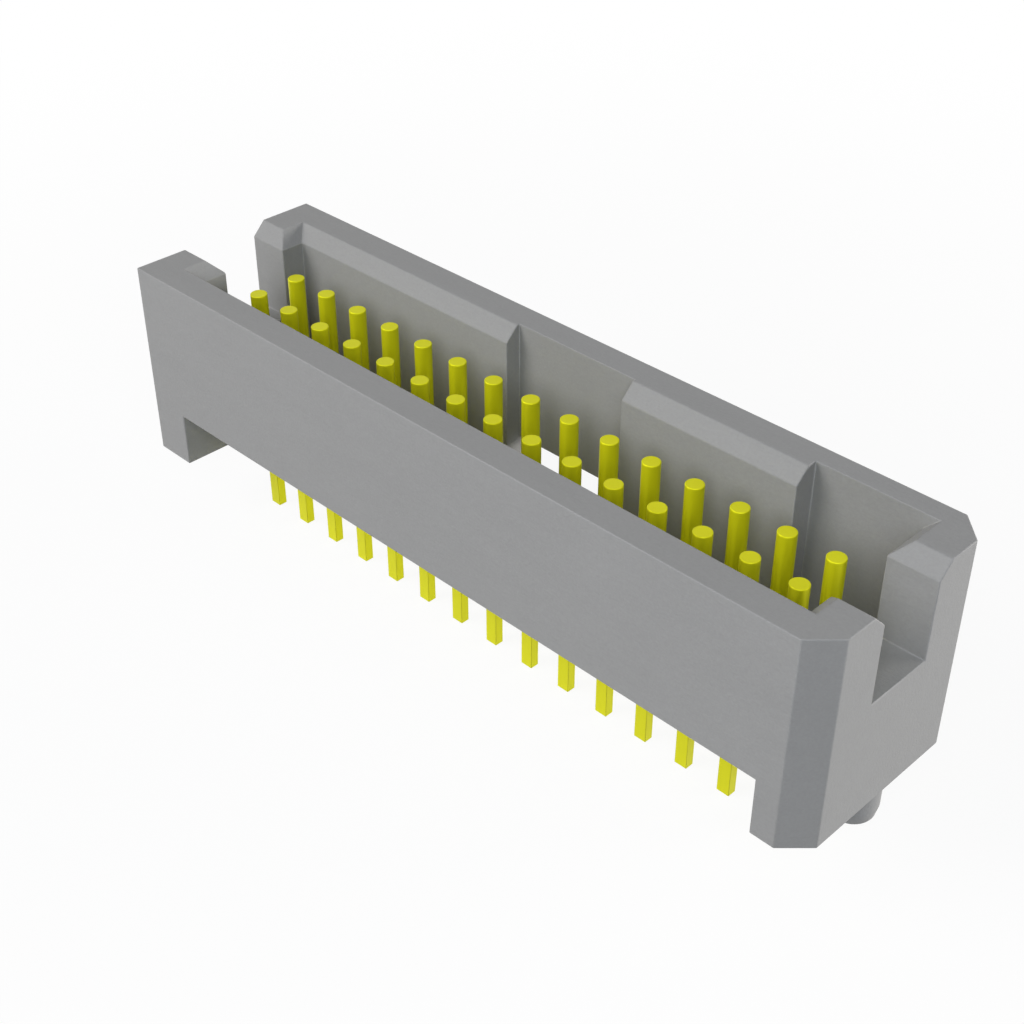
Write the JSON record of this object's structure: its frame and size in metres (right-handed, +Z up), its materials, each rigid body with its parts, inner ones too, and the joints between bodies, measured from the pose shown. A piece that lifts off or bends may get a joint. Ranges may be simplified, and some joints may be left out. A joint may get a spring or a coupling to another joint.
{
  "type": "board-to-board pin header",
  "caption": "Shrouded board-to-board pin header: round contact pins in a polarised cavity, latch slots, bevelled corners, alignment pegs and through-hole solder tails.",
  "frame": {"origin": "on the board's top face, the plane of the feet's undersides, under the centre of the contact grid", "axes": "+X along the rows towards the bevelled end, +Y towards the wall with the polarising recesses, +Z up out of the board, the way the mating plug leaves"},
  "size_m": [0.0222, 0.0058, 0.0075],
  "materials": {
    "housing": "moulded grey glass-filled plastic, fine satin texture",
    "contacts": "drawn copper alloy with bright yellow gold plating"
  },
  "bodies": {
    "root": {"housing": "housing", "contact_front_01": "contacts", "contact_front_02": "contacts", "contact_front_03": "contacts", "contact_front_04": "contacts", "contact_front_05": "contacts", "contact_front_06": "contacts", "contact_front_07": "contacts", "contact_front_08": "contacts", "contact_front_09": "contacts", "contact_front_10": "contacts", "contact_front_11": "contacts", "contact_front_12": "contacts", "contact_front_13": "contacts", "contact_front_14": "contacts", "contact_front_15": "contacts", "contact_back_01": "contacts", "contact_back_02": "contacts", "contact_back_03": "contacts", "contact_back_04": "contacts", "contact_back_05": "contacts", "contact_back_06": "contacts", "contact_back_07": "contacts", "contact_back_08": "contacts", "contact_back_09": "contacts", "contact_back_10": "contacts", "contact_back_11": "contacts", "contact_back_12": "contacts", "contact_back_13": "contacts", "contact_back_14": "contacts", "contact_back_15": "contacts"}
  },
  "joints": []
}
